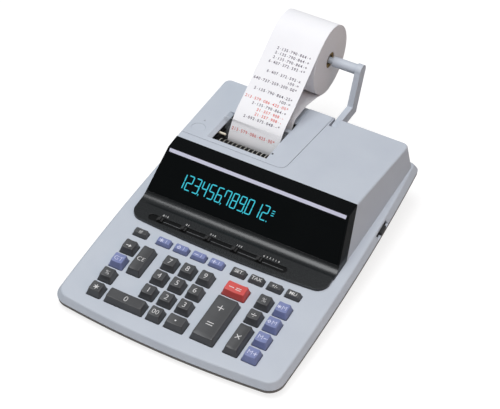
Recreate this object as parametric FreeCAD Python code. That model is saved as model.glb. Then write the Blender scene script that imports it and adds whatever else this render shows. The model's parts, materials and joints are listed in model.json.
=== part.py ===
import FreeCAD, Part
import math
import os
from FreeCAD import Vector, Placement, Rotation

os.makedirs("parts", exist_ok=True)

# Frame in mm: X to the right, Y to the rear, Z up from the table.
# The deck has its own frame: x to the right, v up the slope, w square to the deck.
TILT = 6.0
DECK_HEIGHT = 18.6        # deck above the table at the front of the front key row

# Case: bowed plan outline, a skirt that spreads below the deck and an undercut tray
CASE_WIDTH = 252.6        # at the foot of the skirt
CASE_FRONT = -22.0        # front apex there, measured up the slope
CASE_REAR = 313.5         # rear apex there, measured up the slope
FLARE = 4.2               # spread of the skirt
WIDEST_AT = 105.0         # where the bowed sides are widest
SIDE_BOW_FRONT = 2.4
SIDE_BOW_REAR = 8.0
FRONT_BOW = 7.0
REAR_BOW = 3.0
CORNER_R = 17.0
REAR_CORNER_R = 9.0
DECK_EDGE_R = 1.8
SKIRT = 7.0
WALL = 2.5
RIM_UPPER = 1.6           # bands of the tray under the skirt, with a fine groove between them
RIM_GROOVE = 0.7
RIM_LOWER = 2.0
RIM_INSET = 0.5
RIM_GROOVE_INSET = 1.1
OPEN = 1.0                # how far a cutting solid passes a face that it opens
BEYOND = 20.0             # how far a construction solid passes the case
ROOT = 0.5                # how far an added rib enters its wall
SMALL = 0.001
TRAY_FLOOR = 2.5          # underside of the tray above the table
TRAY_HALF_FRONT = 114.0
TRAY_HALF_REAR = 94.0
TRAY_FRONT = -12.0
TRAY_REAR = 280.0
TRAY_CORNER_R = 12.0

# Printer housing
TOP_FRONT = 187.5         # front edge of the grey top
TOP_FRONT_Z = 79.6
TOP_REAR = 301.0
TOP_REAR_Z = 76.5
REAR_FOOT = 303.0         # rear wall at the deck
SIDE_FOOT = 152.6         # front end of the grey sides at the deck
FRONT_OPEN = 4.0          # how far the hollow passes the open front
TOP_HALF = 102.6          # half width of the top at its front edge
SIDE_DRAFT = 0.22         # outward per mm down
SIDE_FLARE = 0.035        # outward per mm back
HOUSING_CORNER_R = 7.0
HOUSING_EDGE_R = 2.0

# Display front and switch panel
BEZEL_GAP = 0.3
BEZEL_WALL = 2.6
NOSE_Y = 169.8            # upper front corner of the display front
NOSE_Z = 77.8
STRIP_DROP = 3.6          # sloping step that carries the bright strip
STRIP_RUN = 3.0
FOOT_SAG_Y = 1.1          # hollow of the curved foot
FOOT_SAG_Z = 1.2
FACE_FOOT_Y = 137.0
FACE_FOOT_Z = 37.8
PANEL_RISE = 3.0
PANEL_START = 126.0       # where the curved foot meets the panel
PANEL_FRONT = 101.5
PANEL_BOW = 4.5
PANEL_HALF = 110.0
PANEL_CORNER_R = 13.0
WINDOW_MARGIN = 2.4
WINDOW_T = 2.0
WINDOW_SIGHT = 5.0        # width of the ledge that carries the window
FIT = 0.15

# Display tube behind the window
TUBE_SHARE = 0.55         # its middle on the way up the face
TUBE_BACK = 17.0
TUBE_T = 7.0
TUBE_LEFT = -92.0
TUBE_RIGHT = 24.0
TUBE_DOWN = 15.0
TUBE_UP = 11.0
LEG_IN = 6.0
LEG_W = 4.0

# Slide switches
GROOVE_LEFT = -91.0
GROOVE_RIGHT = 66.0
GROOVE_V = 113.5
GROOVE_W = 8.4
GROOVE_DEPTH = 1.2
SLIDE_AT = [-77.9, -50.9, -23.3, 7.1, 34.9]
SLIDE_TRAVEL = 8.0        # each way
KNOB_W = 6.4
KNOB_D = 5.0
KNOB_RISE = 3.0
KNOB_TIP = 0.9
STEM_W = 3.0
STEM_D = 2.2
SLIDE_GAP = 0.25
PANEL_SKIN = 0.6          # panel left under the slots

# Power switch in the right of the skirt
POWER_V = 211.0
POWER_W = -4.2            # centre height
POWER_SLOT = 24.0
POWER_SLOT_H = 4.4
POWER_KNOB = 11.0
POWER_TRAVEL = 3.5        # each way
POWER_PLATE = 1.6
POWER_PLATE_DOWN = 5.0    # plate below the centre
POWER_PROUD = 0.2         # grip beyond the foot of the skirt
SKIRT_REACH = 20.0        # depth of the slot's cut, past the bowed side

# Keys
PITCH = 20.0
ROW = 20.25
KEY_W = 15.3
KEY_D = 14.7
KEY_RISE = 7.2
KEY_SKIRT = 4.0
KEY_GAP = 0.6
KEY_EDGE = 0.8            # upright part above the deck
KEY_IN_SIDE = 1.7
KEY_IN_FRONT = 2.6
KEY_IN_REAR = 0.8
KEY_DISH = 0.55
KEY_LAND = 0.9            # flat rim beside the dish
KEY_R = 1.0
KEY_TRAVEL = 3.0
STUB_R = 2.5
STUB_L = 0.9
FN_W = 15.7
FN_D = 8.4
FN_RISE = 4.4
FN_V = 86.2
POINT_W = 20.8
ZERO_W = 42.3
PLUS_W = 24.8
LEFT_KEYS = -93.5         # left edge of each block of keys
DIGIT_KEYS = -46.8
PLUS_KEYS = 22.2
RIGHT_KEYS = 57.8
FN_FIRST = -94.0
FN_LEFT = -67.2
FN_RIGHT = 17.5

# Board and dome sheet under the keys
MAT_GAP = 0.3
MAT_T = 1.0
DOME_H = 0.8
DOME_R = 4.0
BOARD_T = 1.6
BOARD_HALF = 98.0
BOARD_FRONT = -4.0
BOARD_REAR = 98.0
RIB_INSET = 12.0          # outer ribs inside the board

# Printer cover and paper opening
COVER_FRONT = 197.0
COVER_RIGHT_FRONT = 15.5
COVER_RIGHT_REAR = 21.5
COVER_CORNER_R = 8.0
COVER_T = 3.5
COVER_GAP = 0.45
SEAT_T = 3.0
PAPER_X = -38.0           # middle of the paper
PAPER_W = 57.5
PAPER_T = 0.4
PAPER_STEPS = 140         # flat facets along the paper
LAY_GAP = 0.45            # paper off the rollers
TEAR_CLEAR = 1.3          # paper behind the tear bar
FEED_LEAD = 6.4           # feed behind the platen
FEED_TURNS = [275, 266, 257, 250]
FEED_PATH = [(321.5, 1.2), (303.0, 5.1), (290.0, 7.0), (278.0, 6.2), (267.6, 3.6), (263.4, -3.5)]
PLATEN_TURNS = range(0, -181, -30)
RUN_SHARES = [0.3, 0.6, 0.85]
LAY_TURNS = range(0, 61, 12)
MOUTH_LEFT = 5.4          # opening beside the paper
MOUTH_RIGHT = 2.0
MOUTH_FRONT = 202.8
MOUTH_REAR = 252.0
MOUTH_BEVEL = 4.1         # sloping left edge, over the cover's thickness
TROUGH_DEPTH = 1.6
TROUGH_SIDE = 2.6
SLOT_FRONT = 257.0
SLOT_REAR = 271.0
BAY_FRONT = 201.0
BAY_REAR = 275.0
BAY_GAP = 1.6
PRESS_X = -91.0
PRESS_Y = 210.6
PRESS_R = 7.6
PRESS_DEPTH = 0.5

# Tear bar
TEAR_Y = 239.5            # upper rear edge
TEAR_Z = 80.8
TEAR_T = 1.6
TEAR_LEAN = 57.0
TEAR_H = 12.0
TEAR_CREST = 2.4          # wider top, above the cover
TEAR_GAP = 0.25
TAB_T = 1.8
TAB_L = 9.0
TAB_W = 3.2

# Roll, arm and printer
ROLL_Y = 346.2
ROLL_Z = 109.8
ROLL_R = 38.5
CORE_R = 9.0
CORE_BORE = 6.0
CORE_SINK = 0.8           # core ends below the paper's side faces
SPOOL_GAP = 0.3
SPOOL_L = 40.0
NECK_R = 3.4
NECK_IN = 3.0             # neck inside the roll
BOSS_R = 5.6
BOSS_CLEAR = 4.5          # bare neck between boss and paper
ARM_X = 22.5
ARM_T = 6.5
ARM_W = 14.0
ARM_BEAM_H = 12.0
PIVOT_Y = 294.0
PIVOT_Z = 67.6
PIVOT_R = 2.5
PIVOT_GAP = 0.1
PIVOT_IN = 0.5            # pin ends inside the cheeks
KNEE_Y = 331.0
PIT_FRONT = 285.0
PIT_GAP = 0.8
CHEEK_T = 4.0
CHEEK_DROP = 1.0
DRUM_Y = 213.0
DRUM_Z = 61.0
DRUM_R = 10.0
DRUM_RIBS = 24
RIB_W = 1.3
RIB_DEPTH = 0.9
PLATEN_Y = 240.5
PLATEN_Z = 58.0
PLATEN_R = 10.0
SHAFT_R = 2.5
SHAFT_GAP = 0.1
END_PLAY = 0.6
FRAME_T = 2.5
FRAME_SIDE = 8.0          # side plates beyond the paper
FRAME_FRONT = 200.5
FRAME_REAR = 262.0
FRAME_LOW = 38.0
FRAME_TOP = 71.0
STAND_INSET = 4.0
MOTOR_R = 13.0
MOTOR_L = 34.0
MOTOR_FORWARD = 3.0
MOTOR_RAISE = 1.0
CORE_STACK = [44.0, 46.0, 34.0]
CORE_X = 36.0
CORE_Y = 228.0
BOBBIN_OVER = 6.0
COIL_SIDE = 10.0          # coil inside the core stack
COIL_LOW = 6.0

# Feet, screws and cord hole
FOOT_R = 8.0
FOOT_SEAT = 0.6
FOOT_INSET = 16.0
FOOT_REAR_INSET = 36.0
SCREW_R = 1.5
SCREW_HEAD_R = 3.0
SCREW_HEAD_H = 1.5
SCREW_L = 12.0
POST_R = 4.0
SCREWS = [(94.0, 116.0), (-94.0, 116.0), (86.0, 268.0), (-86.0, 268.0)]
CORD_HOLE_R = 4.0
CORD_HOLE_X = 62.0

SIN = math.sin(math.radians(TILT))
COS = math.cos(math.radians(TILT))
FRONT_Y = CASE_FRONT * COS + SKIRT * SIN
BACK_Y = ROLL_Y + ROLL_R
MID_Y = (FRONT_Y + BACK_Y) / 2
PAPER_L = PAPER_X - PAPER_W / 2
PAPER_RIGHT = PAPER_X + PAPER_W / 2
RIM = RIM_UPPER + RIM_GROOVE + RIM_LOWER
RIM_W = -SKIRT - RIM


def save(name, shape):
    """Moves a piece to the frame of the part and writes it."""
    moved = shape.copy()
    moved.translate(Vector(0, -MID_Y, 0))
    moved.exportStep("parts/" + name + ".step")


def on_deck(shape):
    """Turns a piece drawn in the deck's frame into the case's frame."""
    turn = Placement(Vector(0, 0, DECK_HEIGHT), Rotation(Vector(1, 0, 0), TILT))
    moved = shape.copy()
    moved.Placement = turn.multiply(moved.Placement)
    return moved


def deck_z(y, w):
    """Height of the plane w above the deck at a place y."""
    return DECK_HEIGHT + (y * SIN + w) / COS


def top_z(y):
    """Height of the housing's top at a place y."""
    return TOP_FRONT_Z + (TOP_REAR_Z - TOP_FRONT_Z) * (y - TOP_FRONT) / (TOP_REAR - TOP_FRONT)


def box(x0, x1, y0, y1, z0, z1):
    """Box between two corners."""
    return Part.makeBox(x1 - x0, y1 - y0, z1 - z0, Vector(x0, y0, z0))


def rod(x0, x1, y, z, r):
    """Round bar along X."""
    return Part.makeCylinder(r, x1 - x0, Vector(x0, y, z), Vector(1, 0, 0))


def side_prism(points, x0, x1):
    """Outline of (y, z) points drawn through from x0 to x1."""
    ring = [Vector(x0, y, z) for y, z in points]
    face = Part.Face(Part.makePolygon(ring + [ring[0]]))
    return face.extrude(Vector(x1 - x0, 0, 0))


def plan_prism(points, z0, z1):
    """Outline of (x, y) points drawn up from z0 to z1."""
    ring = [Vector(x, y, z0) for x, y in points]
    face = Part.Face(Part.makePolygon(ring + [ring[0]]))
    return face.extrude(Vector(0, 0, z1 - z0))


def upright_edges(solid):
    """Edges of a prism that run along its height."""
    return [e for e in solid.Edges if abs(e.tangentAt(e.FirstParameter).z) > 1 - SMALL]


def case_plan(inset, w0, w1):
    """Bowed outline of the case with round corners, drawn from w0 to w1."""
    half = CASE_WIDTH / 2 - inset
    front = CASE_FRONT + inset
    rear = CASE_REAR - inset
    right_front = Vector(half - SIDE_BOW_FRONT, front + FRONT_BOW, w0)
    right_rear = Vector(half - SIDE_BOW_REAR, rear - REAR_BOW, w0)
    left_front = Vector(-right_front.x, right_front.y, w0)
    left_rear = Vector(-right_rear.x, right_rear.y, w0)
    sides = [
        Part.Arc(left_front, Vector(0, front, w0), right_front),
        Part.Arc(right_front, Vector(half, WIDEST_AT, w0), right_rear),
        Part.Arc(right_rear, Vector(0, rear, w0), left_rear),
        Part.Arc(left_rear, Vector(-half, WIDEST_AT, w0), left_front),
    ]
    face = Part.Face(Part.Wire([s.toShape() for s in sides]))
    solid = face.extrude(Vector(0, 0, w1 - w0))
    fore = [e for e in upright_edges(solid) if e.Vertexes[0].Y < WIDEST_AT]
    solid = solid.makeFillet(CORNER_R - inset, fore)
    aft = [e for e in upright_edges(solid) if e.Vertexes[0].Y > rear - 2 * REAR_BOW]
    return solid.makeFillet(REAR_CORNER_R - inset, aft)


def skirt_body(inset, w0, w1):
    """Body of the spreading skirt between two heights, kept an inset inside its outside."""
    rings = []
    for w in (w0, w1):
        slab = case_plan(inset + FLARE * (w + SKIRT) / SKIRT, w, w + OPEN)
        low = min(slab.Faces, key=lambda f: f.CenterOfMass.z)
        rings.append(low.OuterWire)
    return Part.makeLoft(rings, True, True)


def tray_plan(inset):
    """Outline of the tray's underside as a wire on the floor plane."""
    front = TRAY_FRONT + inset
    rear = TRAY_REAR - inset
    half_f = TRAY_HALF_FRONT - inset
    half_r = TRAY_HALF_REAR - inset
    corners = [(-half_f, front), (half_f, front), (half_r, rear), (-half_r, rear)]
    solid = plan_prism(corners, TRAY_FLOOR, TRAY_FLOOR + WALL)
    solid = solid.makeFillet(TRAY_CORNER_R - inset, upright_edges(solid))
    low = min(solid.Faces, key=lambda f: f.CenterOfMass.z)
    return low.OuterWire


def tray_cone(inset):
    """Undercut body between the sloping rim and the underside."""
    band = on_deck(case_plan(RIM_INSET + inset, RIM_W, RIM_W + RIM))
    normal = Vector(0, -SIN, COS)
    low = min(band.Faces, key=lambda f: f.CenterOfMass.dot(normal))
    return Part.makeLoft([low.OuterWire, tray_plan(inset)], True, True)


def flanks(inset):
    """Wedge between the housing's two drafted sides."""
    rings = []
    for y in (PANEL_FRONT - BEYOND, REAR_FOOT + BEYOND):
        low = TOP_HALF + SIDE_DRAFT * TOP_FRONT_Z + SIDE_FLARE * (y - TOP_FRONT) - inset
        high = low - SIDE_DRAFT * 2 * TOP_FRONT_Z
        ring = [(-low, 0), (low, 0), (high, 2 * TOP_FRONT_Z), (-high, 2 * TOP_FRONT_Z)]
        points = [Vector(x, y, z) for x, z in ring]
        rings.append(Part.makePolygon(points + [points[0]]))
    return Part.makeLoft(rings, True, True)


def housing(inset, depth, lead):
    """Printer housing behind a leaning front plane, reaching depth below the deck."""
    foot = SIDE_FOOT - lead
    front = TOP_FRONT - lead
    profile = [
        (foot, deck_z(foot, -depth)),
        (front, top_z(front) - inset),
        (TOP_REAR - inset, top_z(TOP_REAR) - inset),
        (REAR_FOOT - inset, deck_z(REAR_FOOT, -depth)),
    ]
    block = side_prism(profile, -CASE_WIDTH, CASE_WIDTH).common(flanks(inset))
    block = block.Solids[0]
    back = [e for e in block.Edges if min(v.Y for v in e.Vertexes) > front + OPEN
            and abs(e.Vertexes[0].Z - e.Vertexes[1].Z) > HOUSING_EDGE_R]
    block = block.makeFillet(HOUSING_CORNER_R - inset, back)
    if inset:
        return block
    middle = (TOP_FRONT_Z + TOP_REAR_Z) / 2 - HOUSING_EDGE_R
    rims = [e for e in block.Edges if min(v.Z for v in e.Vertexes) > middle
            and max(v.Y for v in e.Vertexes) > front + OPEN]
    return block.makeFillet(HOUSING_EDGE_R, rims)


def cover_region(gap, depth):
    """Space of the cover: from the left side to the right edge, down from the top."""
    back = REAR_FOOT + BEYOND
    right = [(COVER_RIGHT_FRONT + gap, COVER_FRONT - gap), (COVER_RIGHT_REAR + gap, back)]
    plan = [(-CASE_WIDTH, COVER_FRONT - gap)] + right + [(-CASE_WIDTH, back)]
    solid = plan_prism(plan, 0, 2 * TOP_FRONT_Z)
    corner = [e for e in upright_edges(solid) if e.Vertexes[0].X > 0 and e.Vertexes[0].Y < TOP_REAR]
    solid = solid.makeFillet(COVER_CORNER_R + gap, corner)
    ends = (COVER_FRONT - BEYOND, back + OPEN)
    layer = [(ends[0], top_z(ends[0]) - depth), (ends[1], top_z(ends[1]) - depth)]
    layer += [(ends[1], top_z(ends[1]) + BEYOND), (ends[0], top_z(ends[0]) + BEYOND)]
    return solid.common(side_prism(layer, -CASE_WIDTH, CASE_WIDTH))


def key_list():
    """Name, left, front, width, depth and rise of each key."""
    a, b = LEFT_KEYS, LEFT_KEYS + PITCH
    c, d, e = DIGIT_KEYS, DIGIT_KEYS + PITCH, DIGIT_KEYS + 2 * PITCH
    f = PLUS_KEYS
    g, h = RIGHT_KEYS, RIGHT_KEYS + PITCH
    tall = KEY_D + ROW
    low_row = [FN_FIRST]
    low_row += [FN_LEFT + i * PITCH for i in range(4)]
    low_row += [FN_RIGHT + i * PITCH for i in range(4)]
    keys = [("key_fn_%d" % i, x, FN_V, FN_W, FN_D, FN_RISE) for i, x in enumerate(low_row)]
    one = [
        ("key_star", a, 0), ("key_percent_add", a, 1), ("key_total", a, 2), ("key_feed", a, 3),
        ("key_7", c, 3), ("key_4", c, 2), ("key_1", c, 1),
        ("key_8", d, 3), ("key_5", d, 2), ("key_2", d, 1), ("key_00", d, 0),
        ("key_9", e, 3), ("key_6", e, 2), ("key_3", e, 1),
        ("key_percent", g, 3), ("key_divide", g, 2),
        ("key_memory_total", h, 3), ("key_memory_sub", h, 2),
        ("key_memory_minus", h, 1), ("key_memory_plus", h, 0),
    ]
    keys += [(name, x, row * ROW, KEY_W, KEY_D, KEY_RISE) for name, x, row in one]
    keys += [
        ("key_clear", b, 2 * ROW, KEY_W, tall, KEY_RISE),
        ("key_0", b, 0, ZERO_W, KEY_D, KEY_RISE),
        ("key_point", e, 0, POINT_W, KEY_D, KEY_RISE),
        ("key_minus", f, 3 * ROW, PLUS_W, KEY_D, KEY_RISE),
        ("key_plus", f, 0, PLUS_W, tall + ROW, KEY_RISE),
        ("key_multiply", g, 0, KEY_W, tall, KEY_RISE),
    ]
    return keys


def cut_corner_ring(x0, x1, v0, v1, w, cut):
    """Corners of a rectangle with its corners cut off, at height w."""
    plan = [(x0 + cut, v0), (x1 - cut, v0), (x1, v0 + cut), (x1, v1 - cut),
            (x1 - cut, v1), (x0 + cut, v1), (x0, v1 - cut), (x0, v0 + cut)]
    return [Vector(x, v, w) for x, v in plan]


def stacked_solid(rings):
    """Solid with flat faces between rings of as many corners each."""
    faces = [Part.Face(Part.makePolygon(ring + [ring[0]])) for ring in (rings[0], rings[-1])]
    for low, high in zip(rings, rings[1:]):
        for i in range(len(low)):
            j = (i + 1) % len(low)
            faces.append(Part.Face(Part.makePolygon([low[i], low[j], high[j], high[i], low[i]])))
    return Part.Solid(Part.Shell(faces))


def keycap(x, v, width, depth, rise):
    """Keycap with upright skirt, tapered sides and a dished top."""
    ease = rise / KEY_RISE
    left = x + KEY_IN_SIDE * ease
    right = x + width - KEY_IN_SIDE * ease
    front = v + KEY_IN_FRONT * ease
    back = v + depth - KEY_IN_REAR * ease
    rings = [cut_corner_ring(x, x + width, v, v + depth, w, KEY_R) for w in (-KEY_SKIRT, KEY_EDGE)]
    rings.append(cut_corner_ring(left, right, front, back, rise, KEY_R))
    cap = stacked_solid(rings)
    half = (right - left) / 2 - KEY_LAND
    radius = half * half / (2 * KEY_DISH) + KEY_DISH / 2
    centre = Vector((left + right) / 2, v - OPEN, rise - KEY_DISH + radius)
    cap = cap.cut(Part.makeCylinder(radius, depth + 2 * OPEN, centre, Vector(0, 1, 0)))
    foot = Vector(x + width / 2, v + depth / 2, -KEY_SKIRT - STUB_L)
    return cap.fuse(Part.makeCylinder(STUB_R, STUB_L, foot)).removeSplitter()


def face_point(share):
    """Point on the sloping display face, from its foot (0) to its top (1)."""
    top_y = NOSE_Y - STRIP_RUN
    top_height = NOSE_Z - STRIP_DROP
    y = FACE_FOOT_Y + share * (top_y - FACE_FOOT_Y)
    return y, FACE_FOOT_Z + share * (top_height - FACE_FOOT_Z)


def window_plate(margin, outward, inward):
    """Plate in the display face, kept a margin inside the face's edges."""
    y0, z0 = face_point(0)
    y1, z1 = face_point(1)
    length = math.hypot(y1 - y0, z1 - z0)
    uy, uz = (y1 - y0) / length, (z1 - z0) / length
    ny, nz = -uz, uy
    corners = []
    for along, sign in ((margin, -1), (margin, 1), (length - margin, 1), (length - margin, -1)):
        y, z = y0 + uy * along, z0 + uz * along
        half = TOP_HALF + SIDE_DRAFT * (TOP_FRONT_Z - z) + SIDE_FLARE * (y - TOP_FRONT) - margin
        corners.append(Vector(sign * half, y + ny * outward, z + nz * outward))
    face = Part.Face(Part.makePolygon(corners + [corners[0]]))
    reach = -(outward + inward)
    return face.extrude(Vector(0, ny * reach, nz * reach))


def stadium(x0, x1, v, width, w0, w1):
    """Long hole with round ends, along x on the deck."""
    r = width / 2
    bar = box(x0 + r, x1 - r, v - r, v + r, w0, w1)
    for x in (x0 + r, x1 - r):
        bar = bar.fuse(Part.makeCylinder(r, w1 - w0, Vector(x, v, w0)))
    return bar.removeSplitter()


# Upper case: deck, skirt and printer housing as one thin moulding
deck = skirt_body(0, -SKIRT, 0)
crown = [e for e in deck.Edges if min(v.Z for v in e.Vertexes) > -SMALL]
deck = on_deck(deck.makeFillet(DECK_EDGE_R, crown))
deck_hollow = on_deck(skirt_body(WALL, -SKIRT - OPEN, -WALL))
shell_out = housing(0, OPEN, 0)
shell_in = housing(WALL, 2 * WALL, FRONT_OPEN)
seat = cover_region(WALL, COVER_T + SEAT_T).common(shell_out)
upper = deck.fuse(shell_out).cut(deck_hollow).cut(shell_in).fuse(seat)

# Cheeks that carry the arm's pivot, and the pit and rear notch that it stands in
cheek_top = top_z(PIVOT_Y) - CHEEK_DROP
cheek_low = PIVOT_Z - ARM_BEAM_H
cheek_l = ARM_X - PIT_GAP - CHEEK_T
cheek_r = ARM_X + ARM_T + PIT_GAP + CHEEK_T
cheeks = box(cheek_l, cheek_r, PIT_FRONT - CHEEK_T, REAR_FOOT, cheek_low, cheek_top)
upper = upper.fuse(cheeks.common(shell_out))
upper = upper.cut(cover_region(COVER_GAP, COVER_T + COVER_GAP))
above = TOP_FRONT_Z + BEYOND
pit = box(ARM_X - PIT_GAP, ARM_X + ARM_T + PIT_GAP, PIT_FRONT, REAR_FOOT + BEYOND, cheek_low - OPEN, above)
upper = upper.cut(pit)
upper = upper.cut(rod(cheek_l - OPEN, cheek_r + OPEN, PIVOT_Y, PIVOT_Z, PIVOT_R + PIVOT_GAP))

# Bay under the cover for the printer
frame_l = PAPER_L - FRAME_SIDE
frame_r = PAPER_RIGHT + FRAME_SIDE
bay = box(frame_l - BAY_GAP, frame_r + BAY_GAP, BAY_FRONT, BAY_REAR, deck_z(BAY_REAR, OPEN), above)
upper = upper.cut(bay)

# Key wells
for name, x, v, width, depth, rise in key_list():
    well = box(x - KEY_GAP, x + width + KEY_GAP, v - KEY_GAP, v + depth + KEY_GAP, -WALL - OPEN, OPEN)
    well = well.makeFillet(KEY_R + KEY_GAP, upright_edges(well))
    upper = upper.cut(on_deck(well))

# Power switch slot through the skirt
skirt_x = CASE_WIDTH / 2
slot = box(skirt_x - SKIRT_REACH, skirt_x + OPEN, POWER_V - POWER_SLOT / 2, POWER_V + POWER_SLOT / 2,
           POWER_W - POWER_SLOT_H / 2, POWER_W + POWER_SLOT_H / 2)
upper = upper.cut(on_deck(slot))

# Screw posts, cut off at the tray's floor
floor_z = TRAY_FLOOR + WALL
for x, y in SCREWS:
    reach = deck_z(y, -WALL / 2)
    if y > TOP_FRONT:
        reach = top_z(y) - (WALL / 2 if x > 0 else COVER_T + SEAT_T / 2)
    post = Part.makeCylinder(POST_R, reach - floor_z, Vector(x, y, floor_z))
    upper = upper.fuse(post)
    upper = upper.cut(Part.makeCylinder(SCREW_R, SCREW_L, Vector(x, y, floor_z)))
save("upper_case", upper.removeSplitter())

# Lower case: rim band and undercut tray
groove_top = -SKIRT - RIM_UPPER
groove_low = groove_top - RIM_GROOVE
groove = case_plan(0, groove_low, groove_top).cut(case_plan(RIM_GROOVE_INSET, groove_low, groove_top))
rim = on_deck(case_plan(RIM_INSET, RIM_W, -SKIRT).cut(groove))
rim_hollow = on_deck(case_plan(RIM_INSET + WALL, RIM_W, -SKIRT + OPEN))
below = box(-CASE_WIDTH, CASE_WIDTH, -CASE_WIDTH, 2 * CASE_WIDTH, -CASE_WIDTH, floor_z)
cavity = rim_hollow.fuse(tray_cone(WALL)).removeSplitter().cut(below)
lower = rim.fuse(tray_cone(0)).removeSplitter().cut(cavity)

# Ribs that hold the circuit board
mat_top = -KEY_SKIRT - STUB_L - KEY_TRAVEL - MAT_GAP - DOME_H
board_top = mat_top - MAT_T
board_low = board_top - BOARD_T
under_board = on_deck(box(-CASE_WIDTH, CASE_WIDTH, -CASE_WIDTH, 2 * CASE_WIDTH, board_low, CASE_WIDTH))
for v in (BOARD_FRONT + RIB_INSET, (BOARD_FRONT + BOARD_REAR) / 2, BOARD_REAR - RIB_INSET):
    rib = box(-BOARD_HALF, BOARD_HALF, v - WALL / 2, v + WALL / 2, floor_z - ROOT, TOP_FRONT_Z)
    lower = lower.fuse(rib.cut(under_board))

# Stand for the printer frame
for x in (frame_l, frame_r - FRAME_T):
    front, back = FRAME_FRONT + STAND_INSET, FRAME_REAR - STAND_INSET
    lower = lower.fuse(box(x, x + FRAME_T, front, back, floor_z - ROOT, FRAME_LOW))

# Foot seats, screw holes and cord hole
feet = []
for sx in (-1, 1):
    feet.append((sx * (TRAY_HALF_FRONT - FOOT_INSET), TRAY_FRONT + FOOT_INSET))
    feet.append((sx * (TRAY_HALF_REAR - FOOT_INSET), TRAY_REAR - FOOT_REAR_INSET))
for x, y in feet:
    lower = lower.cut(Part.makeCylinder(FOOT_R + FIT, FOOT_SEAT, Vector(x, y, TRAY_FLOOR)))
for x, y in SCREWS:
    lower = lower.cut(Part.makeCylinder(SCREW_R + FIT, WALL + 2 * OPEN, Vector(x, y, TRAY_FLOOR - OPEN)))
    under = Vector(x, y, TRAY_FLOOR - OPEN)
    lower = lower.cut(Part.makeCylinder(SCREW_HEAD_R + FIT, SCREW_HEAD_H + OPEN, under))
cord_z = (TRAY_FLOOR + deck_z(REAR_FOOT, RIM_W)) / 2
cord_at = Vector(CORD_HOLE_X, TRAY_REAR - BEYOND / 2, cord_z)
cord = Part.makeCylinder(CORD_HOLE_R, 3 * BEYOND, cord_at, Vector(0, 1, 0))
save("lower_case", lower.cut(cord).removeSplitter())

# Rubber feet and case screws
pads = [Part.makeCylinder(FOOT_R, TRAY_FLOOR + FOOT_SEAT, Vector(x, y, 0)) for x, y in feet]
save("rubber_feet", Part.makeCompound(pads))
screws = []
for x, y in SCREWS:
    head = Part.makeCylinder(SCREW_HEAD_R, SCREW_HEAD_H, Vector(x, y, TRAY_FLOOR))
    screws.append(head.fuse(Part.makeCylinder(SCREW_R, SCREW_L, Vector(x, y, TRAY_FLOOR))).removeSplitter())
save("case_screws", Part.makeCompound(screws))

# Display front: sloping face with a curved foot that runs into the low switch panel
rear = TOP_FRONT - BEZEL_GAP
side_foot = SIDE_FOOT - BEZEL_GAP
strip_y, strip_z = face_point(1)
panel_z = deck_z(PANEL_START, PANEL_RISE)
start = PANEL_FRONT - OPEN
foot_y = (FACE_FOOT_Y + PANEL_START) / 2 + FOOT_SAG_Y
foot_z = (FACE_FOOT_Z + panel_z) / 2 - FOOT_SAG_Z
ring = [(PANEL_START, panel_z), (start, deck_z(start, PANEL_RISE)), (start, deck_z(start, 0)),
        (side_foot, deck_z(side_foot, 0)), (rear, top_z(rear)), (NOSE_Y, NOSE_Z), (strip_y, strip_z),
        (FACE_FOOT_Y, FACE_FOOT_Z)]
ring = [Vector(-CASE_WIDTH, y, z) for y, z in ring]
foot_arc = Part.Arc(ring[-1], Vector(-CASE_WIDTH, foot_y, foot_z), ring[0]).toShape()
front_wire = Part.Wire(Part.makePolygon(ring).Edges + [foot_arc])
bezel = Part.Face(front_wire).extrude(Vector(2 * CASE_WIDTH, 0, 0)).common(flanks(0))
plan = [Vector(-PANEL_HALF, PANEL_FRONT + PANEL_BOW, 0), Vector(0, PANEL_FRONT, 0),
        Vector(PANEL_HALF, PANEL_FRONT + PANEL_BOW, 0)]
back = [Vector(CASE_WIDTH / 2, PANEL_START, 0), Vector(CASE_WIDTH / 2, TOP_FRONT, 0),
        Vector(-CASE_WIDTH / 2, TOP_FRONT, 0), Vector(-CASE_WIDTH / 2, PANEL_START, 0)]
edge = Part.makePolygon([plan[2], Vector(PANEL_HALF, PANEL_START, 0)] + back
                        + [Vector(-PANEL_HALF, PANEL_START, 0), plan[0]])
plan_wire = Part.Wire([Part.Arc(plan[0], plan[1], plan[2]).toShape()] + edge.Edges)
stencil = Part.Face(plan_wire).extrude(Vector(0, 0, 2 * TOP_FRONT_Z))
corner = [e for e in upright_edges(stencil) if e.Vertexes[0].Y < PANEL_FRONT + PANEL_BOW + OPEN]
bezel = bezel.common(stencil.makeFillet(PANEL_CORNER_R, corner))
inner_y = FACE_FOOT_Y + BEZEL_WALL * 2
hollow = [(inner_y, deck_z(inner_y, -OPEN)), (side_foot + OPEN, deck_z(side_foot, -OPEN)),
          (rear + OPEN, top_z(rear) - BEZEL_WALL), (NOSE_Y + OPEN, NOSE_Z - BEZEL_WALL),
          (strip_y + BEZEL_WALL, strip_z - BEZEL_WALL / 2), (inner_y, FACE_FOOT_Z + BEZEL_WALL)]
bezel = bezel.cut(side_prism(hollow, -CASE_WIDTH, CASE_WIDTH).common(flanks(BEZEL_WALL)))
bezel = bezel.cut(window_plate(WINDOW_MARGIN - FIT, OPEN, WINDOW_T))
bezel = bezel.cut(window_plate(WINDOW_MARGIN + WINDOW_SIGHT, OPEN, WINDOW_T + BEZEL_WALL * 2))
groove = stadium(GROOVE_LEFT, GROOVE_RIGHT, GROOVE_V, GROOVE_W, PANEL_RISE - GROOVE_DEPTH, PANEL_RISE + OPEN)
bezel = bezel.cut(on_deck(groove))
for x in SLIDE_AT:
    reach = STEM_W / 2 + SLIDE_TRAVEL + SLIDE_GAP
    side = STEM_D / 2 + SLIDE_GAP
    way = box(x - reach, x + reach, GROOVE_V - side, GROOVE_V + side, PANEL_SKIN, PANEL_RISE)
    bezel = bezel.cut(on_deck(way))
save("front_bezel", bezel.removeSplitter())
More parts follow.
